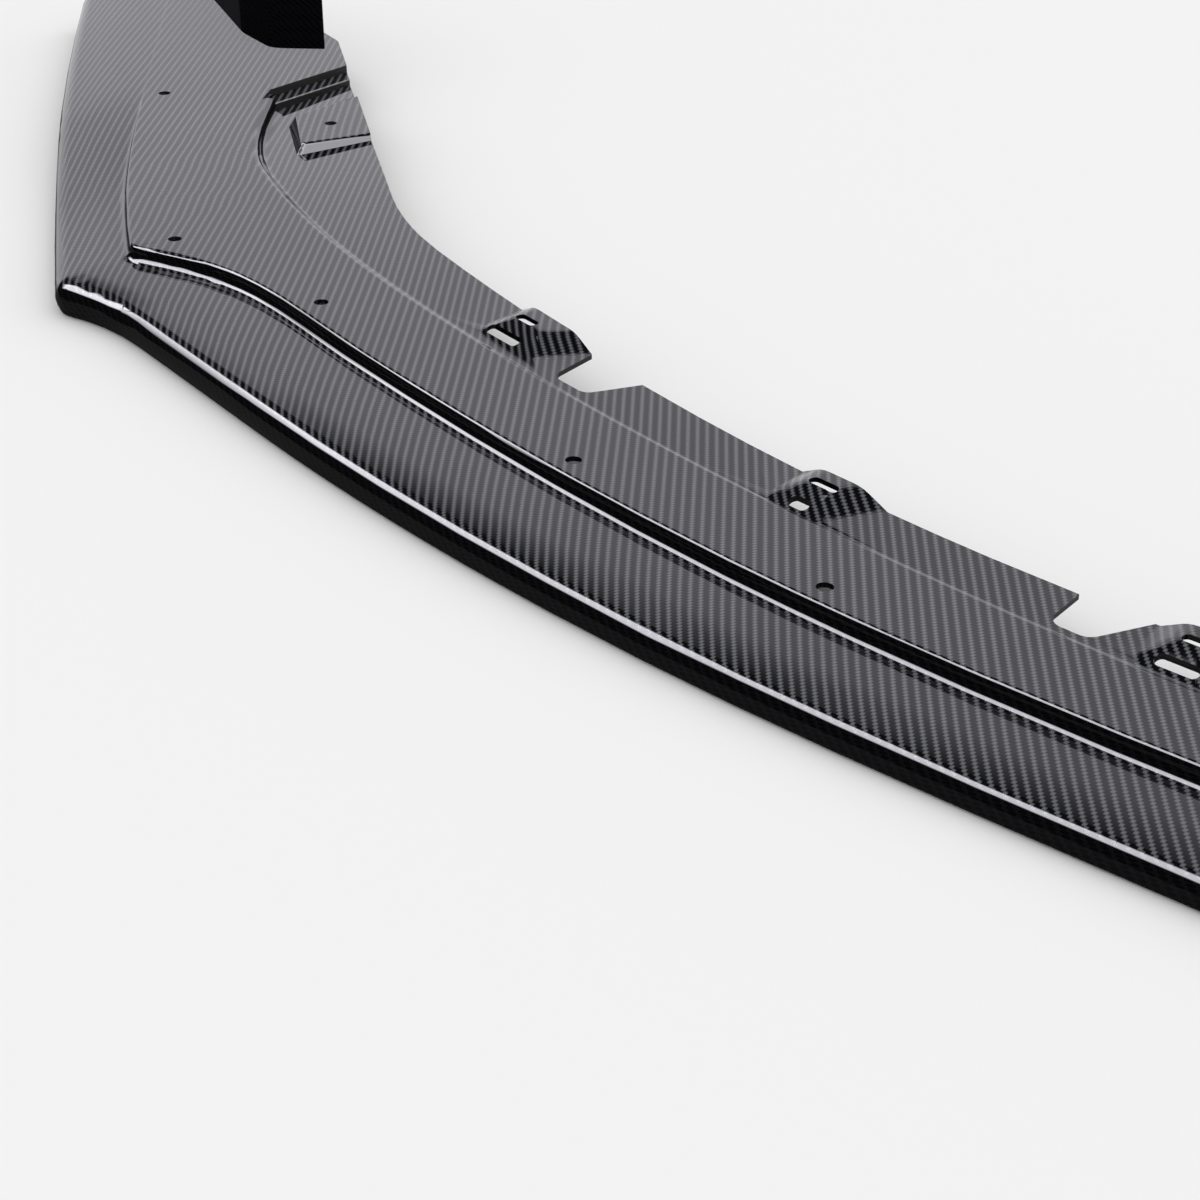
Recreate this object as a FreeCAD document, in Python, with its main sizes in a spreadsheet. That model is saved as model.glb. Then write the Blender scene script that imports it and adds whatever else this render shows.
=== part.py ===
import FreeCAD, Part
import math
import os

# Front splitter lip: one moulded carbon laminate that hangs under a front bumper.
# Plan coordinates: "out" is the distance from the centreline and "back" the distance behind the
# tip of the nose. The left half is built at x = -out and mirrored. The floor is z = 0.

DIMENSIONS = (
    ("laminate", 2.0, "wall of the moulded skin"),
    # Nose line, seen from above, from the centreline out to the tip of the side return
    ("nose_flat", 110.0, "straight run beside the centreline"),
    ("nose_sweep", 355.0, "long bend of the front edge"),
    ("nose_sweep_turn", 13.9, "degrees turned rearward by that bend"),
    ("nose_flank", 102.0, "straight run beyond the bend"),
    ("nose_hook", 50.0, "bend forward again before the corner"),
    ("nose_hook_turn", 21.8, "degrees turned forward there"),
    ("nose_corner_radius", 12.2, "corner of the nose"),
    ("nose_corner_turn", 46.0, "degrees turned at the corner"),
    ("side_stepped", 60.0, "side return beside the full step"),
    ("side_fade", 180.0, "side return along which the step fades out"),
    ("side_plain", 204.0, "side return from there to its end"),
    ("side_turn", 5.5, "degrees turned over the whole side return"),
    # Step line: the edge between blade and flange
    ("blade_depth", 41.5, "nose to step at the centreline"),
    ("step_flat", 60.0, "straight run"),
    ("step_sweep", 374.0, "long bend"),
    ("step_sweep_turn", 14.2, "degrees"),
    ("step_flank", 100.0, "straight run beyond the bend"),
    ("step_hook", 77.0, "bend forward before the corner"),
    ("step_hook_turn", 33.2, "degrees"),
    ("step_corner_radius", 8.7, "corner of the step"),
    ("step_corner_turn", 56.5, "degrees"),
    ("step_side", 195.0, "bend beside the side return"),
    ("step_side_turn", 7.5, "degrees"),
    # Crease: where the flange drops to the rear panel
    ("flange_depth", 34.0, "step to crease at the centreline"),
    ("crease_inner", 122.0, "first bend of the crease"),
    ("crease_inner_turn", 4.0, "degrees"),
    ("crease_middle", 364.0, "second bend"),
    ("crease_middle_turn", 12.6, "degrees"),
    ("crease_outer", 186.0, "third bend"),
    ("crease_outer_turn", 14.1, "degrees"),
    ("crease_end", 125.0, "last bend, towards the side return"),
    ("crease_shaped", 68.0, "part of that bend on which the fall still grows"),
    ("crease_run", 782.0, "crease up to the end of the rear panel"),
    ("crease_end_turn", 31.0, "degrees"),
    # Rear edge
    ("panel_depth", 29.5, "crease to rear edge at the centreline"),
    ("rear_inner", 120.0, "first bend of the rear edge"),
    ("rear_inner_turn", 2.2, "degrees"),
    ("rear_middle", 190.0, "second bend"),
    ("rear_middle_turn", 10.6, "degrees"),
    ("rear_outer", 203.0, "third bend"),
    ("rear_outer_turn", 9.0, "degrees"),
    ("rear_knee", 76.0, "tight bend before the side return"),
    ("rear_knee_turn", 17.0, "degrees"),
    ("rear_side", 249.0, "straight edge of the side return's panel"),
    ("rear_corner_radius", 18.0, "rounded corner at the end of that edge"),
    ("rear_corner_turn", 18.5, "degrees turned back outward there"),
    # Section
    ("nose_height", 12.4, "blade above the floor at the centreline"),
    ("nose_height_gain", 4.6, "extra height reached at the corner"),
    ("nose_radius", 8.5, "upper rounding of the nose"),
    ("nose_foot_radius", 2.6, "lower rounding of the nose"),
    ("nose_lean", 20.0, "degrees by which the face leans in under itself"),
    ("nose_return", 14.0, "flat return under the nose"),
    ("crown_radius", 160.0, "slow fall of the blade towards the nose"),
    ("crown_turn", 9.0, "degrees of that fall"),
    ("step_height", 6.5, "flange above blade"),
    ("step_foot_radius", 4.5, "fillet at the foot of the step"),
    ("step_edge_radius", 2.4, "rounding along the top of the step"),
    ("crease_drop", 0.8, "fall of the crease near the centreline"),
    ("crease_drop_gain", 7.2, "extra fall at the side return"),
    ("crease_width", 3.5, "width of the fall near the centreline"),
    ("crease_width_gain", 6.5, "extra width at the side return"),
    ("panel_tilt", 2.5, "degrees by which the rear panel climbs rearward"),
    # Fixings
    ("hole_diameter", 6.2, "screw holes of the flange"),
    ("slot_width", 4.6, "slots of the tabs"),
    ("tab_height", 5.5, "tab above the rear panel"),
    ("tab_slope", 11.0, "plan width of a tab's sloping sides"),
    ("tab_rounding", 14.0, "rounded edges of the tabs"),
    ("tab_slot", 13.0, "upper slot of a tab, centre to centre of its ends"),
    ("pad_height", 5.0, "screw pad above the rear panel"),
    ("pad_slope", 3.0, "plan width of the pad's sloping sides"),
    ("pad_rounding", 2.4, "rounded edges of the pad"),
    ("ledge_width", 11.0, "lower ledge at the end of the rear panel"),
    ("fence_height", 45.0, "upright fence above the flange"),
    ("fence_radius", 12.0, "corner of the fence in plan"),
    ("fence_end", 24.0, "short leg of the fence"),
    ("fence_setback", 9.0, "fence in front of the rear edge"),
    ("fence_rounding", 8.0, "upper corner of the fence's short leg"),
    ("notch_radius", 6.0, "inner corners of the notches"),
)

# Screw holes of the flange: distance along the step line and distance behind it
HOLES = ((198.0, 9.5), (324.0, 9.5), (506.0, 12.0), (603.0, 15.0), (837.0, 12.0))

# Tabs: distance along the crease, foot behind the crease, reach outward, length of lower slot
TABS = ((74.0, 6.0, 24.0, 16.0), (230.0, 4.0, 24.0, 9.0), (403.0, 9.5, 34.0, 22.0))

# Notches in the rear edge: distance out of the upright wall, floor behind the crease,
# length of the floor, run of the sloping side up to the rear edge
NOTCHES = ((130.0, 6.5, 16.0, 13.0), (376.0, 8.0, 20.0, 16.0))

# Screw pad in the corner of the rear panel: distance along the rear edge beyond its knee and
# distance in front of that edge, for the corners of its foot and for its hole
PAD = ((127.0, 37.0), (77.0, 38.0), (88.0, -8.0), (159.0, -4.0))
PAD_HOLE = (109.0, 18.0)

doc = FreeCAD.newDocument("front_splitter_lip")
sheet = doc.addObject("Spreadsheet::Sheet", "sizes")
for row, (alias, value, meaning) in enumerate(DIMENSIONS, start=1):
    sheet.set("A%d" % row, meaning)
    sheet.set("B%d" % row, str(value))
    sheet.setAlias("B%d" % row, alias)
doc.recompute()


def size(alias):
    return float(sheet.get(alias))


def angle(alias):
    return math.radians(size(alias))


class Line:
    """A plan line made of straight runs and arcs, each given by its length and turn."""

    def __init__(self, out, back, heading, runs):
        self.runs = []
        start = 0.0
        for length, turn in runs:
            self.runs.append((start, length, turn, out, back, heading))
            out, back, heading = self.advance(out, back, heading, length, turn, length)
            start += length
        self.length = start

    @staticmethod
    def advance(out, back, heading, length, turn, travel):
        if abs(turn) < 1e-9:
            return out + travel * math.cos(heading), back + travel * math.sin(heading), heading
        radius = length / turn
        after = heading + turn * travel / length
        out += radius * (math.sin(after) - math.sin(heading))
        back += radius * (math.cos(heading) - math.cos(after))
        return out, back, after

    def at(self, travel):
        """Out, back and heading at a distance along the line. Before 0 the line is mirrored."""
        if travel < 0.0:
            out, back, heading = self.at(-travel)
            return -out, back, -heading
        run = self.runs[0]
        for candidate in self.runs:
            if travel >= candidate[0]:
                run = candidate
        start, length, turn, out, back, heading = run
        return self.advance(out, back, heading, length, turn, travel - start)

    def beside(self, travel, inward=0.0):
        """The plan point at a distance along the line and a distance to its rear."""
        out, back, heading = self.at(travel)
        return out - inward * math.sin(heading), back + inward * math.cos(heading)

    def crossing(self, out, back, direction):
        """Distance along this line at which the ray from a plan point crosses it."""
        low, high = -self.length, self.length
        for _ in range(60):
            middle = (low + high) / 2.0
            here = self.at(middle)
            side = (here[0] - out) * math.sin(direction) - (here[1] - back) * math.cos(direction)
            if side < 0.0:
                low = middle
            else:
                high = middle
        return (low + high) / 2.0

    def back_at(self, out):
        """How far back the line is at a distance out."""
        return self.at(self.crossing(out, 0.0, math.pi / 2.0))[1]

    def edges(self, inward=0.0, level=0.0):
        """The line as edges, moved to its rear."""
        made = []
        for start, length, turn, out, back, heading in self.runs:
            ends = [start, start + length / 2.0, start + length]
            points = [vector(*self.beside(travel, inward), level) for travel in ends]
            if abs(turn) < 1e-9:
                made.append(Part.makeLine(points[0], points[2]))
            else:
                made.append(Part.Arc(*points).toShape())
        return made


def vector(out, back, level):
    return FreeCAD.Vector(-out, back, level)


T = size("laminate")
CORNER_RUN = size("nose_corner_radius") * angle("nose_corner_turn")
SIDE_RUN = size("side_stepped") + size("side_fade") + size("side_plain")
FRONT_RUN = size("nose_flat") + size("nose_sweep") + size("nose_flank") + size("nose_hook")
CREASE_BACK = size("blade_depth") + size("flange_depth")
REAR_BACK = CREASE_BACK + size("panel_depth")
# The skin is moulded deeper and longer than the finished part, then trimmed to its outline.
TRIM = 14.0

nose = Line(0.0, 0.0, 0.0, (
    (size("nose_flat"), 0.0),
    (size("nose_sweep"), angle("nose_sweep_turn")),
    (size("nose_flank"), 0.0),
    (size("nose_hook"), -angle("nose_hook_turn")),
    (CORNER_RUN, angle("nose_corner_turn")),
    (SIDE_RUN, angle("side_turn")),
    (TRIM, 0.0),
))
step = Line(0.0, size("blade_depth"), 0.0, (
    (size("step_flat"), 0.0),
    (size("step_sweep"), angle("step_sweep_turn")),
    (size("step_flank"), 0.0),
    (size("step_hook"), -angle("step_hook_turn")),
    (size("step_corner_radius") * angle("step_corner_turn"), angle("step_corner_turn")),
    (size("step_side"), angle("step_side_turn")),
    (SIDE_RUN, 0.0),
))
crease = Line(0.0, CREASE_BACK, 0.0, (
    (size("crease_inner"), angle("crease_inner_turn")),
    (size("crease_middle"), angle("crease_middle_turn")),
    (size("crease_outer"), angle("crease_outer_turn")),
    (size("crease_end"), angle("crease_end_turn")),
    (size("crease_end") / 2.0, -angle("crease_end_turn") * 0.7),
    (SIDE_RUN, 0.0),
))
REAR_RUNS = (
    (size("rear_inner"), angle("rear_inner_turn")),
    (size("rear_middle"), angle("rear_middle_turn")),
    (size("rear_outer"), angle("rear_outer_turn")),
    (size("rear_knee"), angle("rear_knee_turn")),
)
CORNER_BEND = size("rear_corner_radius") * angle("rear_corner_turn")
rear = Line(0.0, REAR_BACK, 0.0, REAR_RUNS + (
    (size("rear_side"), 0.0),
    (CORNER_BEND, -angle("rear_corner_turn")),
    (size("side_plain"), 0.0),
))
deckle = Line(0.0, REAR_BACK + TRIM, 0.0, REAR_RUNS + ((size("rear_side") + SIDE_RUN, 0.0),))
# Beyond any part of the lip
FAR = nose.length


def fan(travel):
    """Plan direction of the section that starts at this distance along the nose."""
    front_fan = math.radians(10.0)
    side_fan = math.radians(33.5)
    if travel <= FRONT_RUN:
        share = travel / FRONT_RUN
        return math.pi / 2.0 + front_fan * share * share * share
    share = (travel - FRONT_RUN) / (CORNER_RUN + SIDE_RUN)
    return math.pi / 2.0 + front_fan + side_fan * share


def smooth(share):
    share = min(1.0, max(0.0, share))
    return share * share * (3.0 - 2.0 * share)


def heights(travel):
    """Underside of the nose, blade and flange heights at a distance along the nose."""
    gain = size("nose_height_gain") * smooth(abs(travel) / FRONT_RUN)
    blade = size("nose_height") + gain
    fade_start = FRONT_RUN + CORNER_RUN + size("side_stepped")
    rise = 0.97 * size("step_height") * smooth((travel - fade_start) / size("side_fade"))
    return rise, blade + rise, blade + size("step_height")


def crease_shape(travel):
    """Fall and width of the crease at a distance along it."""
    start = size("crease_inner") + 0.7 * size("crease_middle")
    end = size("crease_inner") + size("crease_middle") + size("crease_outer")
    end += size("crease_shaped")
    share = min(1.0, max(0.0, (travel - start) / (end - start)))
    fall = size("crease_drop") + size("crease_drop_gain") * share * share
    width = size("crease_width") + size("crease_width_gain") * share
    return fall, width


def arc(centre, radius, start, end, pieces):
    """An arc as runs of three control points each.

    Angles are those of the surface normal, from upright towards the nose.
    """
    half = (end - start) / pieces / 2.0
    runs = []
    for index in range(pieces):
        middle = start + (2 * index + 1) * half
        spread = ((middle - half, radius), (middle, radius / math.cos(half)),
                  (middle + half, radius))
        runs.append([(centre[0] - reach * math.sin(turn), centre[1] + reach * math.cos(turn))
                     for turn, reach in spread])
    return runs


def rounded(centre, radius, start, end, pieces):
    """An outer rounding and the one inside it."""
    inner = max(radius - T, 0.3)
    return [arc(centre, radius, start, end, pieces), arc(centre, inner, start, end, pieces)]


def tight(centre, radius, start, end, pieces):
    """An outer rounding so small that the inner face has a plain corner."""
    corner = arc(centre, radius - T, start, end, 1)[0][1]
    return [arc(centre, radius, start, end, pieces), [[corner]]]


def hollow(centre, radius, start, end, pieces):
    """A fillet, whose centre is above the surface."""
    return [arc(centre, -radius, start, end, pieces), arc(centre, -radius - T, start, end, pieces)]


def shifted(faces, origin, stretch):
    return [[[(origin + across * stretch, level) for across, level in run] for run in runs]
            for runs in faces]


def section(travel):
    """The laminate cut upright through the nose at this distance along it.

    Gives the plan point and direction of the cut, and for the outer and the inner face the
    control points of every run, from the return under the nose to the rear edge.
    """
    out, back, heading = nose.at(travel)
    direction = math.pi - fan(-travel) if travel < 0.0 else fan(travel)
    rise, blade, flange = heights(abs(travel))

    def reach(line):
        there = line.crossing(out, back, direction)
        point = line.at(there)
        skew = direction - point[2] - math.pi / 2.0
        return abs(there), math.hypot(point[0] - out, point[1] - back), 1.0 / math.cos(skew)

    stretch = 1.0 / math.cos(direction - heading - math.pi / 2.0)
    step_at, step_reach, step_stretch = reach(step)
    crease_at, crease_reach, crease_stretch = reach(crease)
    rear_at, rear_reach, rear_stretch = reach(deckle)

    # Step: a fillet and a rounding that meet at the step's own slope, just short of upright
    edge = size("step_edge_radius")
    height = flange - blade
    foot = max(size("step_foot_radius"), 1.06 * height - edge)
    slope = math.acos(1.0 - height / (foot + edge))
    edge_across = 0.65 * edge
    foot_across = edge_across - (foot + edge) * math.sin(slope)
    step_foot = shifted(hollow((foot_across, blade + foot), foot, 0.0, slope, 2),
                        step_reach, step_stretch)
    step_edge = shifted(tight((edge_across, flange - edge), edge, slope, 0.0, 2),
                        step_reach, step_stretch)

    # Nose: flat return, foot, leaning face, rounding and crown
    lean = math.pi / 2.0 + angle("nose_lean")
    crown_turn = angle("crown_turn")
    foot_radius = size("nose_foot_radius")
    room = (step_reach + foot_across * step_stretch) / stretch - 2.0
    crown = min(size("crown_radius"), (room - size("nose_radius")) / math.sin(crown_turn))
    fall = crown * (1.0 - math.cos(crown_turn))
    face_foot = rise + foot_radius * (1.0 + math.cos(lean))
    face = blade - fall - face_foot
    radius = min(size("nose_radius"), (face - 0.5) / (math.cos(crown_turn) - math.cos(lean)))
    crown_across = radius + (crown - radius) * math.sin(crown_turn)
    round_centre = (radius, blade - fall - radius * math.cos(crown_turn))
    face_top = (radius - radius * math.sin(lean), round_centre[1] + radius * math.cos(lean))
    inward = (face_top[1] - face_foot) * math.tan(angle("nose_lean"))
    foot_centre = (face_top[0] + inward + foot_radius * math.sin(lean), rise + foot_radius)
    return_end = (foot_centre[0] + size("nose_return")) * stretch
    nose_foot = shifted(tight(foot_centre, foot_radius, math.pi, lean, 2), 0.0, stretch)
    nose_round = shifted(rounded(round_centre, radius, lean, crown_turn, 3), 0.0, stretch)
    nose_crown = shifted(rounded((crown_across, blade - crown), crown, crown_turn, 0.0, 1),
                         0.0, stretch)

    # Crease: a rounding and a fillet that face the rear
    drop, width = crease_shape(crease_at)
    turn = 2.0 * math.atan(drop / width)
    bend = width / (2.0 * math.sin(turn))
    tilt = angle("panel_tilt")
    crease_edge = shifted(rounded((0.0, flange - bend), bend, 0.0, -turn, 2),
                          crease_reach, crease_stretch)
    low_centre = (width, flange - bend + 2.0 * bend * math.cos(turn))
    crease_foot = shifted(hollow(low_centre, bend, -turn, tilt, 2), crease_reach, crease_stretch)
    arcs = (nose_foot, nose_round, nose_crown, step_foot, step_edge, crease_edge, crease_foot)

    faces = []
    for face in (0, 1):
        runs = []
        here = (return_end, rise + T * face)
        for pieces in arcs:
            start = pieces[face][0][0]
            if math.hypot(start[0] - here[0], start[1] - here[1]) > 1e-6:
                runs.append([here, start])
            runs.extend(piece for piece in pieces[face] if len(piece) > 1)
            here = pieces[face][-1][-1]
        climb = (rear_reach - here[0]) / crease_stretch * math.tan(tilt)
        runs.append([here, (rear_reach, here[1] + climb)])
        faces.append(runs)
    return out, back, direction, faces


def place(cut, point):
    out, back, direction, faces = cut
    across, level = point
    return vector(out + across * math.cos(direction), back + across * math.sin(direction), level)


def partings():
    """Distances along the nose at which one set of faces ends and the next begins."""
    front = size("nose_flat") + size("nose_sweep")
    lengths = (
        front / 2.0,
        front / 2.0,
        size("nose_flank"),
        size("nose_hook"),
        CORNER_RUN,
        size("side_stepped") / 4.0,
        size("side_stepped") * 3.0 / 4.0,
        size("side_fade"),
        size("side_plain") + TRIM,
    )
    travels = [0.0]
    for length in lengths:
        travels.append(travels[-1] + length)
    return travels


def points_of(travel):
    """Every control point of the cut at a distance along the nose."""
    cut = section(travel)
    outer, inner = cut[3]
    runs = outer + inner
    runs.append([outer[0][0], inner[0][0]])
    runs.append([outer[-1][-1], inner[-1][-1]])
    return [[place(cut, point) for point in run] for run in runs]


def slope_of(travel):
    """How fast every control point moves with the distance along the nose."""
    gap = 0.02
    before, after = points_of(travel - gap), points_of(travel + gap)
    return [[(last - first) / (2.0 * gap) for first, last in zip(*pair)]
            for pair in zip(before, after)]


def patch(ends, slopes, length):
    """Face swept by one run of the section between two partings. A level one is a plane."""
    rows = []
    for start, end, rise, fall in zip(*ends, *slopes):
        rows.append([start, start + rise * (length / 3.0), end - fall * (length / 3.0), end])
    across = len(rows)
    surface = Part.BSplineSurface()
    surface.buildFromPolesMultsKnots(rows, [across, across], [4, 4], [0.0, 1.0], [0.0, 1.0],
                                     False, False, across - 1, 3)
    face = surface.toShape()
    levels = [point.z for row in rows for point in row]
    if across == 2 and max(levels) - min(levels) < 1e-7:
        sides = [edge.Curve.toShape(*edge.ParameterRange) for edge in face.Edges]
        return Part.Face(Part.Wire(Part.__sortEdges__(sides)))
    return face


def bezier(points):
    curve = Part.BezierCurve()
    curve.setPoles(points)
    return curve.toShape()


def mould_skin():
    """The left half of the laminate before it is trimmed, as one solid."""
    travels = partings()
    points = [points_of(travel) for travel in travels]
    slopes = [slope_of(travel) for travel in travels]
    faces = []
    for index in range(len(travels) - 1):
        length = travels[index + 1] - travels[index]
        for run in range(len(points[0])):
            faces.append(patch([points[index][run], points[index + 1][run]],
                               [slopes[index][run], slopes[index + 1][run]], length))
    for runs in (points[0], points[-1]):
        edges = [bezier(run) for run in runs]
        faces.append(Part.Face(Part.Wire(Part.__sortEdges__(edges))))
    shell = Part.Compound(faces)
    shell.sewShape(0.001)
    solid = Part.Solid(shell.Shells[0])
    if solid.Volume < 0.0:
        solid.reverse()
    return solid


def along_run(run, share):
    """The point of a run at a share of its length."""
    points = list(run)
    while len(points) > 1:
        points = [(first[0] + (last[0] - first[0]) * share, first[1] + (last[1] - first[1]) * share)
                  for first, last in zip(points, points[1:])]
    return points[0]


def top_at(out, back):
    """Level of the upper face of the skin at a plan point."""
    low, high = 0.0, nose.length
    for _ in range(50):
        travel = (low + high) / 2.0
        start = nose.at(travel)
        direction = fan(travel)
        aside = ((out - start[0]) * math.sin(direction)
                 - (back - start[1]) * math.cos(direction))
        if aside > 0.0:
            low = travel
        else:
            high = travel
    across = math.hypot(out - start[0], back - start[1])
    for run in section(travel)[3][0][6:]:
        if run[-1][0] >= across:
            break
    low, high = 0.0, 1.0
    for _ in range(40):
        share = (low + high) / 2.0
        if along_run(run, share)[0] < across:
            low = share
        else:
            high = share
    return along_run(run, share)[1]


def add_shape(name, shape):
    feature = doc.addObject("Part::Feature", name)
    feature.Shape = shape
    feature.Label = name
    feature.Placement = FreeCAD.Placement()
    return feature


def outward(points, distance):
    """A convex plan polygon with every side moved outward."""
    count = len(points)
    area = 0.0
    for index in range(count):
        here, after = points[index], points[(index + 1) % count]
        area += here[0] * after[1] - after[0] * here[1]
    signed = distance if area > 0.0 else -distance
    moved = []
    for index in range(count):
        before, here, after = points[index - 1], points[index], points[(index + 1) % count]
        first = math.atan2(here[1] - before[1], here[0] - before[0])
        second = math.atan2(after[1] - here[1], after[0] - here[0])
        half = math.remainder(second - first, 2.0 * math.pi) / 2.0
        middle = first + half
        reach = signed / math.cos(half)
        moved.append((here[0] + reach * math.sin(middle), here[1] - reach * math.cos(middle)))
    return moved


def plan_wire(points, level):
    corners = [vector(out, back, level) for out, back in points]
    return Part.makePolygon(corners + corners[:1])


def prism(points, bottom, top):
    """Upright prism over a plan polygon."""
    return Part.Face(plan_wire(points, bottom)).extrude(FreeCAD.Vector(0, 0, top - bottom))


def block(foot, base, height, slope, sink):
    """Block with sloping sides: `foot` is its outline at the level of its base."""
    low = plan_wire(outward(foot, sink * slope / height), base - sink)
    high = plan_wire(outward(foot, -slope), base + height)
    return Part.makeLoft([low, high], True, True)


def softened(solid, radius, floor):
    """Rounds every edge of a block except those in its floor."""
    edges = [edge for edge in solid.Edges if edge.BoundBox.ZMax > floor + 0.5]
    return solid.makeFillet(radius, edges)


def below(points):
    """Everything under the middle of the laminate near three plan points."""
    first, second, third = [vector(out, back, top_at(out, back) - T / 2.0)
                            for out, back in points]
    normal = (second - first).cross(third - first).normalize()
    if normal.z < 0.0:
        normal = -normal
    disc = Part.Face(Part.Wire(Part.makeCircle(FAR, first, normal)))
    return disc.extrude(normal * -FAR)


def blister(foot, seats, height, slope, rounding):
    """Hollow block raised from the skin, and the void beneath it."""
    base = top_at(*seats[0])
    steep = math.hypot(height, slope) / height
    sink = 3.0 * T
    inner_height = height - T
    outer = softened(block(foot, base, height, slope, sink), rounding, base - sink)
    inner_foot = outward(foot, -T * steep)
    void = block(inner_foot, base, inner_height, slope * inner_height / height, sink)
    return outer.cut(void).cut(below(seats)), void


def stadium(out, back, heading, length, width, bottom, top):
    """Upright slot with round ends."""
    half = (length - width) / 2.0
    along = FreeCAD.Vector(-math.cos(heading), math.sin(heading), 0.0)
    across = FreeCAD.Vector(math.sin(heading), math.cos(heading), 0.0)
    centre = vector(out, back, bottom)
    side = across * (width / 2.0)
    end = along * half
    tip = along * (length / 2.0)
    wire = Part.Wire([
        Part.makeLine(centre - end + side, centre + end + side),
        Part.Arc(centre + end + side, centre + tip, centre + end - side).toShape(),
        Part.makeLine(centre + end - side, centre - end - side),
        Part.Arc(centre - end - side, centre - tip, centre - end + side).toShape(),
    ])
    return Part.Face(wire).extrude(FreeCAD.Vector(0, 0, top - bottom))


skin = add_shape("skin", mould_skin())
TOP = heights(FRONT_RUN)[2] + size("fence_height") + 20.0
BOTTOM = -20.0

# Tabs: hollow blisters that run out through the rear edge
tabs = []
voids = []
slots = []
for travel, foot, reach, slot_length in TABS:
    corner_out, corner_back, heading = crease.at(travel)

    def local(along, behind):
        return (corner_out + along * math.cos(heading) - behind * math.sin(heading),
                corner_back + along * math.sin(heading) + behind * math.cos(heading))

    far = size("panel_depth") * 1.8
    outline = (local(reach + 8.0, far), local(reach, foot), local(-2.0, foot),
               local(-32.0, far))
    seats = (local(0.5 * reach, foot + 12.0), local(reach, foot), local(0.0, foot))
    shell, void = blister(outline, seats, size("tab_height"), size("tab_slope"),
                          size("tab_rounding"))
    tabs.append(shell)
    voids.append(void)
    lower = local(reach - 15.0, foot + 0.25 * size("tab_slope"))
    upper = local(reach - 16.0, foot + 14.0)
    width = size("slot_width")
    slots.append(stadium(*lower, heading, slot_length, width, BOTTOM, TOP))
    slots.append(stadium(*upper, heading, size("tab_slot"), width, BOTTOM, TOP))

# Screw pad in the corner of the rear panel
knee = sum(length for length, turn in REAR_RUNS)


def in_corner(along, ahead):
    return rear.beside(knee + along, -ahead)


pad_outline = [in_corner(*corner) for corner in PAD]
hole = in_corner(*PAD_HOLE)
seats = (hole, in_corner(PAD[0][0] - 10.0, PAD[0][1] - 6.0),
         in_corner(PAD[1][0] + 4.0, PAD[1][1] - 6.0))
pad, void = blister(pad_outline, seats, size("pad_height"), size("pad_slope"),
                    size("pad_rounding"))
tabs.append(pad)
voids.append(void)

# Ledges where the rear panel ends: the low one half way up the fall of the crease, the high one
# level with the flange and carried on as a plate to the tip of the side return
FLANGE = heights(FRONT_RUN)[2]
drop, width = crease_shape(crease.length)
ledge_level = FLANGE - drop / 2.0
plate_level = FLANGE - 0.05
high_out = crease.at(size("crease_run"))[0]
low_out = high_out - size("ledge_width")


def region_behind(line, inward, bottom, top):
    """Everything behind a plan line moved to its rear."""
    edges = line.edges(inward, bottom)
    start = edges[0].Vertexes[0].Point
    end = edges[-1].Vertexes[-1].Point
    corners = [start, FreeCAD.Vector(start.x, FAR, bottom), FreeCAD.Vector(end.x, FAR, bottom), end]
    sides = [Part.makeLine(*pair) for pair in zip(corners, corners[1:])]
    outline = Part.Wire(Part.__sortEdges__(edges + sides))
    return Part.Face(outline).extrude(FreeCAD.Vector(0, 0, top - bottom))


def behind_crease(first_out, last_out, inward, bottom, top):
    """Block over everything behind the moved crease between two distances out."""
    strip = prism(((first_out, 0.0), (last_out, 0.0), (last_out, FAR), (first_out, FAR)),
                  bottom, top)
    return region_behind(crease, inward, bottom, top).common(strip)


def rib(first_out, start, top, lowest):
    """Wall across the rear panel from a distance behind the crease, standing in the skin."""
    heading = crease.at(crease.crossing(first_out, 0.0, math.pi / 2.0))[2]
    middle = first_out + T / 2.0
    first = crease.back_at(middle) + start / math.cos(heading)
    last = rear.back_at(middle) + T
    count = 10
    profile = []
    for index in range(count + 1):
        back = first + (last - first) * index / count
        foot = max(top_at(middle, back) - T / 2.0, lowest)
        profile.append(vector(first_out, back, min(foot, top - T / 4.0)))
    profile.append(vector(first_out, last, top))
    profile.append(vector(first_out, first, top))
    face = Part.Face(Part.makePolygon(profile + profile[:1]))
    return face.extrude(FreeCAD.Vector(-T, 0, 0))


END = nose.at(nose.length)[0]
opening = behind_crease(low_out + T, high_out + T, 0.41 * width, BOTTOM, TOP)
voids.append(opening.fuse(behind_crease(high_out + T, END, 0.0, BOTTOM, TOP)))
low_ledge = behind_crease(low_out, high_out + T, 0.34 * width, ledge_level - T, ledge_level)
plate = behind_crease(high_out, END, -2.0 * T, plate_level - T, plate_level)
low_wall = rib(low_out, 0.5 * width, ledge_level - T / 2.0, 0.0)
high_wall = rib(high_out, 0.1 * width, plate_level - T / 2.0, ledge_level - T / 2.0)

# Fence: an upright wall from the rear edge to the tip
corner = size("fence_radius")
start_out, start_back, start_heading = rear.at(knee + size("rear_side") - 11.0)
start_out, start_back = rear.beside(knee + size("rear_side") - 11.0, -size("fence_setback"))
fence_line = Line(start_out, start_back, start_heading - math.radians(75.0), (
    (size("fence_end"), 0.0),
    (corner * math.radians(53.0), math.radians(53.0)),
    (23.0, 0.0),
    (12.0, math.radians(12.3)),
    (size("side_plain"), 0.0),
))


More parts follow.
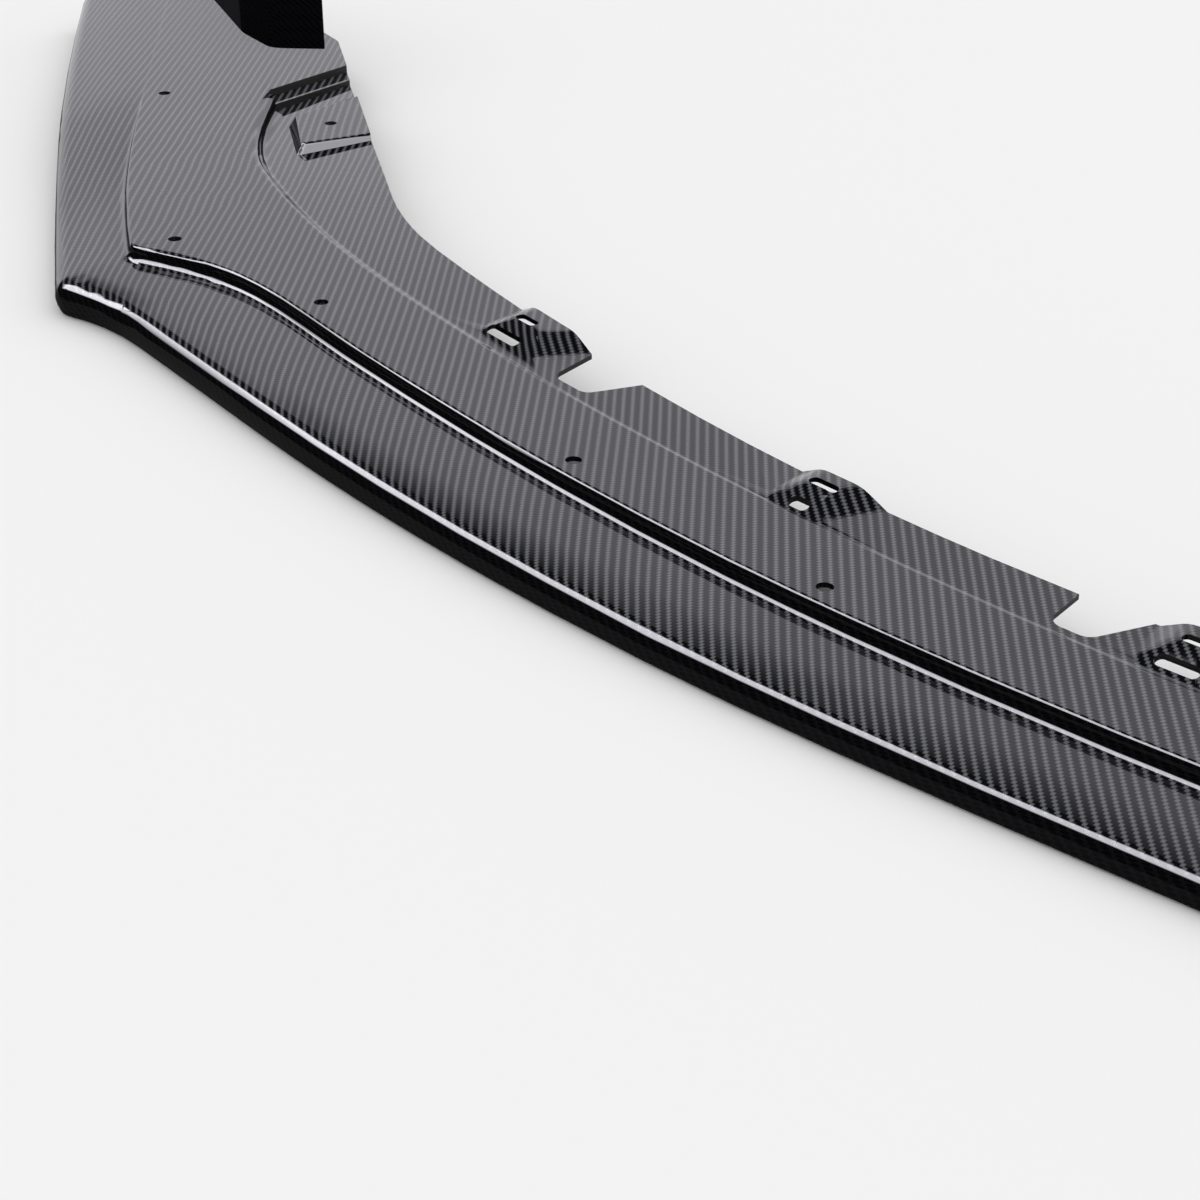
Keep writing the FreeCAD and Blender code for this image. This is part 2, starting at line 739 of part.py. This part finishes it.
def fence_wall():
    front = fence_line.edges(0.0, FLANGE - 0.6 * T)
    behind = fence_line.edges(T, FLANGE - 0.6 * T)
    ends = [Part.makeLine(front[0].Vertexes[0].Point, behind[0].Vertexes[0].Point),
            Part.makeLine(front[-1].Vertexes[-1].Point, behind[-1].Vertexes[-1].Point)]
    outline = Part.Wire(Part.__sortEdges__(front + behind + ends))
    height = size("fence_height") + 0.6 * T
    wall = Part.Face(outline).extrude(FreeCAD.Vector(0, 0, height))
    start = vector(*fence_line.beside(0.0, T / 2.0), FLANGE + size("fence_height"))
    corners = [edge for edge in wall.Edges if (edge.CenterOfMass - start).Length < 0.5]
    return wall.makeFillet(size("fence_rounding"), corners)


def feature(kind, name, **links):
    made = doc.addObject(kind, name)
    for link, target in links.items():
        setattr(made, link, target)
    made.Label = name
    return made


opened = feature("Part::Cut", "opened", Base=skin, Tool=add_shape("openings", Part.Compound(voids)))
raised = [opened]
raised += [add_shape("tab_%d" % index, shape) for index, shape in enumerate(tabs[:-1], start=1)]
raised.append(add_shape("pad", pad))
raised.append(add_shape("low_ledge", low_ledge))
raised.append(add_shape("corner_plate", plate))
raised.append(add_shape("low_wall", low_wall))
raised.append(add_shape("high_wall", high_wall))
raised.append(add_shape("fence", fence_wall()))
moulded = feature("Part::MultiFuse", "moulded", Shapes=raised)

# Everything outside the rear edge and beyond the cut at the tip, and the notches
tip_travel = nose.length - TRIM
tip_heading = nose.at(tip_travel)[2]
tip_point = nose.at(tip_travel)[:2]
outside = region_behind(rear, 0.0, BOTTOM, TOP)
beyond = [nose.beside(tip_travel, -FAR), nose.beside(tip_travel, FAR)]
onward = (FAR * math.cos(tip_heading), FAR * math.sin(tip_heading))
beyond += [(out + onward[0], back + onward[1]) for out, back in reversed(beyond)]
waste = [prism(beyond, BOTTOM, TOP)]
for wall_out, floor, floor_length, slope_run in NOTCHES:
    inner_out = wall_out - floor_length
    outer_back = crease.back_at(wall_out) + floor
    inner_back = crease.back_at(inner_out) + floor
    depth = rear.back_at(inner_out) - inner_back
    notch = prism(((wall_out, outer_back + 2.0 * depth), (wall_out, outer_back),
                   (inner_out, inner_back),
                   (inner_out - 2.0 * slope_run, inner_back + 2.0 * depth)), BOTTOM, TOP)
    uprights = [edge for edge in notch.Edges
                if edge.BoundBox.ZLength > 1.0 and edge.BoundBox.YMin < outer_back + 1.0]
    waste.append(notch.makeFillet(size("notch_radius"), uprights))
cutters = [add_shape("waste", outside.fuse(waste)), add_shape("slots", Part.Compound(slots))]

hole_points = [step.beside(travel, behind) for travel, behind in HOLES] + [hole]
for index, (out, back) in enumerate(hole_points, start=1):
    drill = feature("Part::Cylinder", "hole_%d" % index)
    drill.setExpression("Radius", "sizes.hole_diameter / 2")
    drill.setExpression("Height", "sizes.nose_height * 4")
    drill.Placement = FreeCAD.Placement(vector(out, back, 0.0), FreeCAD.Rotation())
    cutters.append(drill)
removed = feature("Part::Compound", "removed", Links=cutters)
half = feature("Part::Cut", "left_half", Base=moulded, Tool=removed)
mirrored = feature("Part::Mirroring", "right_half", Source=half)
mirrored.Base = FreeCAD.Vector(0, 0, 0)
mirrored.Normal = FreeCAD.Vector(1, 0, 0)
lip = feature("Part::MultiFuse", "front_splitter_lip", Shapes=[half, mirrored])

# The finished part stands on the floor, centred on the origin
rear_tip = rear.at(rear.crossing(*tip_point, tip_heading + math.pi / 2.0))
lip.Placement = FreeCAD.Placement(FreeCAD.Vector(0, -rear_tip[1] / 2.0, 0), FreeCAD.Rotation())
doc.recompute()

for made in doc.Objects:
    state = list(made.State)
    if "Invalid" in state or "Error" in state:
        raise RuntimeError("%s is %s" % (made.Name, state))
    if hasattr(made, "Shape") and (made.Shape.isNull() or not made.Shape.isValid()):
        raise RuntimeError("%s has no sound shape" % made.Name)
os.makedirs("parts", exist_ok=True)
lip.Shape.exportStep("parts/front_splitter_lip.step")
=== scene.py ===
import math

import bpy
import numpy as np
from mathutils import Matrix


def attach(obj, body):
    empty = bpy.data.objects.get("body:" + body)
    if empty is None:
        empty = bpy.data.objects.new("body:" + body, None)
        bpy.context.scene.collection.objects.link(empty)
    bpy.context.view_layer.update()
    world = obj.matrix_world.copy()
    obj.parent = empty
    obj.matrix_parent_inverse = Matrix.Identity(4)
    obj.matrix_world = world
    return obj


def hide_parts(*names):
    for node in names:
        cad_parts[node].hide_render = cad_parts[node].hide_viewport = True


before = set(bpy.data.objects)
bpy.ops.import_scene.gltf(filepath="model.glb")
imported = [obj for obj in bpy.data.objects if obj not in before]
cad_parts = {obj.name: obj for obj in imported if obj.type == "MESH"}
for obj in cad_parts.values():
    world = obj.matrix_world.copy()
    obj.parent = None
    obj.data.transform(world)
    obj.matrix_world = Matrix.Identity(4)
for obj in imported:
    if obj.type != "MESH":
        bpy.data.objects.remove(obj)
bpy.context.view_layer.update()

# Camera of the photograph: its place in the part's frame in metres, its heading to the left of +Y
# and its dip below level in degrees, and its lens and sensor in millimetres
CAMERA_PLACE = (0.1852, -0.7314, 0.4031)
CAMERA_HEADING = 40.0
CAMERA_DIP = 29.59
LENS = 70.8
SENSOR = 36.0

# Cloth: 2x2 twill. The first tows run at this angle from +X and the ribs half a right angle on.
TOW_PITCH = 0.00128
TOW_ANGLE = 81.0
TOW_HEIGHT = 0.0002
TOW_RELIEF = 0.35
# Painted sheen: the first tows get this grey as their colour, standing in for the gloss of their
# fibres; the second tows stay near black
LIT_TOW = (0.108, 0.110, 0.121)
DARK_TOW = (0.004, 0.004, 0.005, 1.0)

# Painted sheen and shade of a lit tow: gain and least along its arch, and across its round
ARCH_SHADE = (1.15, 0.05)
ROUND_SHADE = (0.25, 0.8)

# Unevenness of the cloth: patches in a metre, and the darkest and lightest of them
PATCHES = 9.0
PATCH_SHADES = (0.93, 1.07)

# Painted shade: the lit tows and the clear coat fade on steep faces, by how level the surface is:
# 0 upright, 1 level
TOW_SHADE_BY_LEVEL = ((0.0, 0.02), (0.77, 0.02), (0.88, 1.0))
COAT_SHADE_BY_LEVEL = ((0.0, 0.1), (0.4, 0.12), (0.6, 1.0))
COAT_ROUGHNESS = 0.03

# Cloth laid over the nose: the lines that fall away ahead of it turn outward with the distance
# from the centreline, in degrees, evenly up to EVEN_OUT and once more over the corner
EVEN_TURN = 10.0
EVEN_OUT = 0.6
CORNER_TURN = 30.0
CORNER_OUT = (0.62, 0.70)

# Sawn edges: how upright they are, and the grain of their layers
UPRIGHT = 0.002
GRAIN = (60.0, 60.0, 2600.0)
GRAIN_SHADES = ((0.3, 0.004), (0.8, 0.02))

# Edges sharper than this many degrees stay sharp. What rises above FENCE_FOOT is a fence.
SMOOTH_ANGLE = 38.0
FENCE_FOOT = 0.0245

# Studio. What gloss reflects goes by the turn round the X axis, as a share of half a turn from
# level behind the part, and the strip overhead ends at a distance to each side.
WHITE = 0.896
FLOOR_HALF = 30.0
GLOSS_TINT = (0.96, 0.95, 1.02)
ROOM = ((0.0, 1.0), (0.24, 0.95), (0.305, 0.01), (0.99, 0.01))
STRIP = ((0.465, 0.0), (0.5, 1.0), (0.63, 1.0), (0.67, 0.0))
STRIP_ENDS = ((0.82, 1.0), (0.92, 0.0))
STRIP_STRENGTH = 13.0


def node(tree, kind, settings=None, **inputs):
    """Adds a shader node. An input is a value or another node's output socket.

    It is named with underscores for spaces, or by its number, as in i0.
    """
    made = tree.nodes.new(kind)
    for name, value in (settings or {}).items():
        setattr(made, name, value)
    for name, value in inputs.items():
        key = int(name[1:]) if name[0] == "i" and name[1:].isdigit() else name.replace("_", " ")
        if isinstance(value, bpy.types.NodeSocket):
            tree.links.new(value, made.inputs[key])
        else:
            made.inputs[key].default_value = value
    return made


def maths(tree, operation, *values):
    """Result of a Math node."""
    made = node(tree, "ShaderNodeMath", {"operation": operation},
                **{"i%d" % index: value for index, value in enumerate(values)})
    return made.outputs[0]


def ramp(tree, value, stops):
    """Grey ramp through (position, level) stops."""
    made = node(tree, "ShaderNodeValToRGB", Fac=value)
    elements = made.color_ramp.elements
    while len(elements) < len(stops):
        elements.new(0.5)
    for element, (position, level) in zip(elements, stops):
        element.position = position
        element.color = (level, level, level, 1.0)
    return made.outputs[0]


def new_material(name):
    """Empty material and its node tree."""
    material = bpy.data.materials.new(name)
    material.use_nodes = True
    material.node_tree.nodes.clear()
    return material, material.node_tree


def finish_material(tree, shader):
    """Joins the shader to the material's output."""
    node(tree, "ShaderNodeOutputMaterial", Surface=shader.outputs[0])


def weave(tree):
    """Twill from the unrolled surface.

    Gives which tow is on top, how far it arches along its length there and how round it is
    across, both from 0 at its edges to 1 in its middle, and the place on the cloth.
    """
    uv = node(tree, "ShaderNodeUVMap", {"uv_map": "cloth"}).outputs[0]
    turned = node(tree, "ShaderNodeMapping", {"vector_type": "TEXTURE"}, Vector=uv,
                  Rotation=(0.0, 0.0, math.radians(TOW_ANGLE)),
                  Scale=(TOW_PITCH, TOW_PITCH, 1.0)).outputs[0]
    axes = node(tree, "ShaderNodeSeparateXYZ", Vector=turned)
    along, across = axes.outputs[0], axes.outputs[1]
    along_cell = maths(tree, "FLOOR", along)
    across_cell = maths(tree, "FLOOR", across)
    first_at = maths(tree, "FLOORED_MODULO", maths(tree, "SUBTRACT", along, across_cell), 4.0)
    second_at = maths(tree, "SUBTRACT", maths(tree, "SUBTRACT", across, along_cell), 1.0)
    second_at = maths(tree, "FLOORED_MODULO", second_at, 4.0)
    cells = maths(tree, "SUBTRACT", along_cell, across_cell)
    first = maths(tree, "LESS_THAN", maths(tree, "FLOORED_MODULO", cells, 4.0), 1.5)

    def rounded(share, length):
        return maths(tree, "SINE", maths(tree, "MULTIPLY", share, math.pi / length))

    def chosen(of_second, of_first):
        return node(tree, "ShaderNodeMix", {"data_type": "FLOAT"}, Factor=first, A=of_second,
                    B=of_first).outputs[0]

    arch = chosen(rounded(second_at, 2.0), rounded(first_at, 2.0))
    width = chosen(rounded(maths(tree, "FRACT", along), 1.0),
                   rounded(maths(tree, "FRACT", across), 1.0))
    return first, maths(tree, "MAXIMUM", arch, 0.0), maths(tree, "MAXIMUM", width, 0.0), uv


def carbon():
    """Clear-coated twill, with a painted sheen on the lit tows and painted shade on steep faces.
    """
    material, tree = new_material("carbon_twill")
    first, arch, width, uv = weave(tree)
    normal = node(tree, "ShaderNodeNewGeometry").outputs["Normal"]
    rise = node(tree, "ShaderNodeSeparateXYZ", Vector=normal).outputs[2]
    # Painted shade: steep faces lose their lit tows and most of their clear coat
    level = ramp(tree, rise, TOW_SHADE_BY_LEVEL)
    coat_shade = ramp(tree, rise, COAT_SHADE_BY_LEVEL)
    noise = node(tree, "ShaderNodeTexNoise", Vector=uv, Scale=PATCHES, Detail=2.0).outputs[0]
    patch = node(tree, "ShaderNodeMapRange", Value=noise, From_Min=0.3, From_Max=0.7,
                 To_Min=PATCH_SHADES[0], To_Max=PATCH_SHADES[1]).outputs[0]
    # Painted sheen along each lit tow's arch and round, times the painted shade of steep faces and
    # the cloth's random patches
    shade = maths(tree, "MULTIPLY", maths(tree, "MULTIPLY_ADD", arch, *ARCH_SHADE),
                  maths(tree, "MULTIPLY_ADD", width, *ROUND_SHADE))
    shade = maths(tree, "MULTIPLY", maths(tree, "MULTIPLY", level, patch), shade)
    lit = node(tree, "ShaderNodeVectorMath", {"operation": "SCALE"}, i0=LIT_TOW,
               Scale=shade).outputs[0]
    base = node(tree, "ShaderNodeMix", {"data_type": "RGBA"}, i0=first, i6=DARK_TOW,
                i7=lit).outputs[2]
    height = maths(tree, "SQRT", maths(tree, "MULTIPLY", arch, width))
    bump = node(tree, "ShaderNodeBump", Strength=TOW_RELIEF, Distance=TOW_HEIGHT, Height=height)
    shader = node(tree, "ShaderNodeBsdfPrincipled", Base_Color=base, Roughness=0.5,
                  Specular_IOR_Level=0.0, Normal=bump.outputs[0], Coat_Weight=coat_shade,
                  Coat_Roughness=COAT_ROUGHNESS, Coat_IOR=1.5)
    finish_material(tree, shader)
    return material


def cut_edge():
    """Sawn edge of the laminate: black, with a faint layered grain."""
    material, tree = new_material("cut_edge")
    place = node(tree, "ShaderNodeNewGeometry").outputs["Position"]
    layers = node(tree, "ShaderNodeMapping", Vector=place, Scale=GRAIN).outputs[0]
    grain = node(tree, "ShaderNodeTexNoise", Vector=layers, Scale=1.0, Detail=1.0).outputs[0]
    colour = ramp(tree, grain, GRAIN_SHADES)
    shader = node(tree, "ShaderNodeBsdfPrincipled", Base_Color=colour, Roughness=0.55,
                  Specular_IOR_Level=0.25)
    finish_material(tree, shader)
    return material


def smoothstep(low, high, value):
    """Rises smoothly from 0 at low to 1 at high."""
    share = np.clip((value - low) / (high - low), 0.0, 1.0)
    return share * share * (3.0 - 2.0 * share)


def unrolled(points):
    """Plan position of the cloth: what lies lower is laid out level, further ahead."""
    out = np.abs(points[:, 0])
    turn = np.radians(EVEN_TURN * np.minimum(out / EVEN_OUT, 1.0)
                      + CORNER_TURN * smoothstep(*CORNER_OUT, out))
    inward = np.stack((-np.sign(points[:, 0]) * np.sin(turn), np.cos(turn)), axis=1)
    return points[:, :2] + inward * points[:, 2:3]


def corner_normals(points, faces):
    """Normal of each face corner, shared across round edges, and each face's own normal.

    Sharp edges split them. At a shared corner, a face counts by its angle there and by the square
    of its least height, so that a broad flat face keeps its own direction and a narrow strip bends
    to it.
    """
    corner = points[faces]
    edges = np.roll(corner, -1, axis=1) - corner
    normals = np.cross(edges[:, 0], -edges[:, 2])
    doubled = np.linalg.norm(normals, axis=1)
    normals /= np.maximum(doubled, 1e-15)[:, None]
    lengths = np.linalg.norm(edges, axis=2)
    least = doubled / np.maximum(lengths.max(axis=1), 1e-12)
    ahead = edges / np.maximum(lengths, 1e-12)[:, :, None]
    behind = -np.roll(ahead, 1, axis=1)
    angles = np.arccos(np.clip((ahead * behind).sum(axis=2), -1.0, 1.0))
    weights = angles * (least * least)[:, None]
    around = [[] for _ in range(len(points))]
    for index, face in enumerate(faces):
        for side in range(3):
            around[face[side]].append((index, side))
    limit = math.cos(math.radians(SMOOTH_ANGLE))
    made = np.zeros((len(faces), 3, 3))
    for corners in around:
        if not corners:
            continue
        which = np.array([index for index, side in corners])
        weight = np.array([weights[index, side] for index, side in corners])
        near = normals[which] @ normals[which].T > limit
        summed = (near * weight[None, :]) @ normals[which]
        for (index, side), normal in zip(corners, summed):
            made[index, side] = normal
    size = np.linalg.norm(made, axis=2, keepdims=True)
    return np.where(size > 1e-20, made / np.maximum(size, 1e-20), normals[:, None, :]), normals


def piece_of(name, points, faces, normals, materials, sawn):
    """One piece of the lip, with true round normals and its cloth laid out."""
    used, joined = np.unique(faces, return_inverse=True)
    points = points[used]
    faces = joined.reshape(faces.shape)
    mesh = bpy.data.meshes.new(name)
    mesh.from_pydata(points.tolist(), [], faces.tolist())
    mesh.shade_smooth()
    mesh.normals_split_custom_set(normals.reshape(-1, 3).tolist())
    layer = mesh.uv_layers.new(name="cloth")
    layer.data.foreach_set("uv", unrolled(points)[faces.reshape(-1)].reshape(-1))
    for material in materials:
        mesh.materials.append(material)
    mesh.polygons.foreach_set("material_index", sawn.astype(np.int32))
    piece = bpy.data.objects.new(name, mesh)
    bpy.context.scene.collection.objects.link(piece)
    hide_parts("front_splitter_lip")
    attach(piece, "root")
    return piece


def welded(source):
    """Points and triangles of a mesh, with points that coincide joined."""
    points = np.array([vertex.co for vertex in source.vertices])
    source.calc_loop_triangles()
    faces = np.array([triangle.vertices for triangle in source.loop_triangles])
    kept, joined = np.unique(np.round(points, 7), axis=0, return_index=True,
                             return_inverse=True)[1:]
    faces = joined.reshape(-1)[faces]
    whole = ((faces[:, 0] != faces[:, 1]) & (faces[:, 1] != faces[:, 2])
             & (faces[:, 2] != faces[:, 0]))
    return points[kept], faces[whole]


def lip():
    """The moulded lip in the frame's own form, with its upright fences as a piece of their own.

    The fences are kept out of reflections, as in the photograph.
    """
    points, faces = welded(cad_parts["front_splitter_lip"].data)
    shared, flat = corner_normals(points, faces)
    fence = points[faces][:, :, 2].max(axis=1) > FENCE_FOOT
    sawn = (np.abs(flat[:, 2]) < UPRIGHT) & ~fence
    materials = (carbon(), cut_edge())
    piece_of("splitter_lip", points, faces[~fence], shared[~fence], materials, sawn[~fence])
    fences = piece_of("corner_fences", points, faces[fence], shared[fence], materials,
                      sawn[fence])
    fences.visible_glossy = False


def floor():
    """Level white floor under the part."""
    material, tree = new_material("floor")
    shader = node(tree, "ShaderNodeBsdfDiffuse", Color=(WHITE, WHITE, WHITE, 1.0))
    finish_material(tree, shader)
    mesh = bpy.data.meshes.new("floor")
    corners = ((-1.0, -1.0), (1.0, -1.0), (1.0, 1.0), (-1.0, 1.0))
    mesh.from_pydata([(x * FLOOR_HALF, y * FLOOR_HALF, 0.0) for x, y in corners], [],
                     [(0, 1, 2, 3)])
    plane = bpy.data.objects.new("floor", mesh)
    bpy.context.scene.collection.objects.link(plane)
    mesh.materials.append(material)


def studio():
    """Even white light, with the studio's own shape for what gloss reflects.

    Round the X axis, from level behind the part: white backdrop, dark gap, bright strip
    overhead, and the dark side of the room in front of the part.
    """
    world = bpy.data.worlds.new("studio")
    bpy.context.scene.world = world
    world.use_nodes = True
    tree = world.node_tree
    tree.nodes.clear()
    axes = node(tree, "ShaderNodeSeparateXYZ",
                Vector=node(tree, "ShaderNodeTexCoord").outputs["Generated"])
    angle = maths(tree, "ARCTAN2", axes.outputs[2], axes.outputs[1])
    share = maths(tree, "DIVIDE", angle, math.pi)
    aside = maths(tree, "ABSOLUTE", axes.outputs[0])
    strip = maths(tree, "MULTIPLY", ramp(tree, share, STRIP), ramp(tree, aside, STRIP_ENDS))
    room = ramp(tree, share, ROOM)
    reflected = maths(tree, "MULTIPLY_ADD", strip, STRIP_STRENGTH, room)
    reflected = node(tree, "ShaderNodeVectorMath", {"operation": "SCALE"}, i0=GLOSS_TINT,
                     Scale=reflected).outputs[0]
    rays = node(tree, "ShaderNodeLightPath")
    gloss = node(tree, "ShaderNodeBackground", Color=reflected, Strength=1.0)
    plain = node(tree, "ShaderNodeBackground", Color=(1.0, 1.0, 1.0, 1.0), Strength=1.0)
    seen = node(tree, "ShaderNodeBackground", Color=(WHITE, WHITE, WHITE, 1.0), Strength=1.0)
    lighting = node(tree, "ShaderNodeMixShader", Fac=rays.outputs["Is Glossy Ray"],
                    i1=plain.outputs[0], i2=gloss.outputs[0])
    shown = node(tree, "ShaderNodeMixShader", Fac=rays.outputs["Is Camera Ray"],
                 i1=lighting.outputs[0], i2=seen.outputs[0])
    node(tree, "ShaderNodeOutputWorld", Surface=shown.outputs[0])


def camera():
    """Camera at the photograph's angle."""
    data = bpy.data.cameras.new("camera")
    data.lens = LENS
    data.sensor_width = SENSOR
    data.clip_start = 0.01
    eye = bpy.data.objects.new("camera", data)
    eye.location = CAMERA_PLACE
    eye.rotation_euler = (math.radians(90.0 - CAMERA_DIP), 0.0, math.radians(CAMERA_HEADING))
    bpy.context.scene.collection.objects.link(eye)
    bpy.context.scene.camera = eye


lip()
floor()
studio()
camera()
bpy.context.scene.view_settings.view_transform = "Standard"
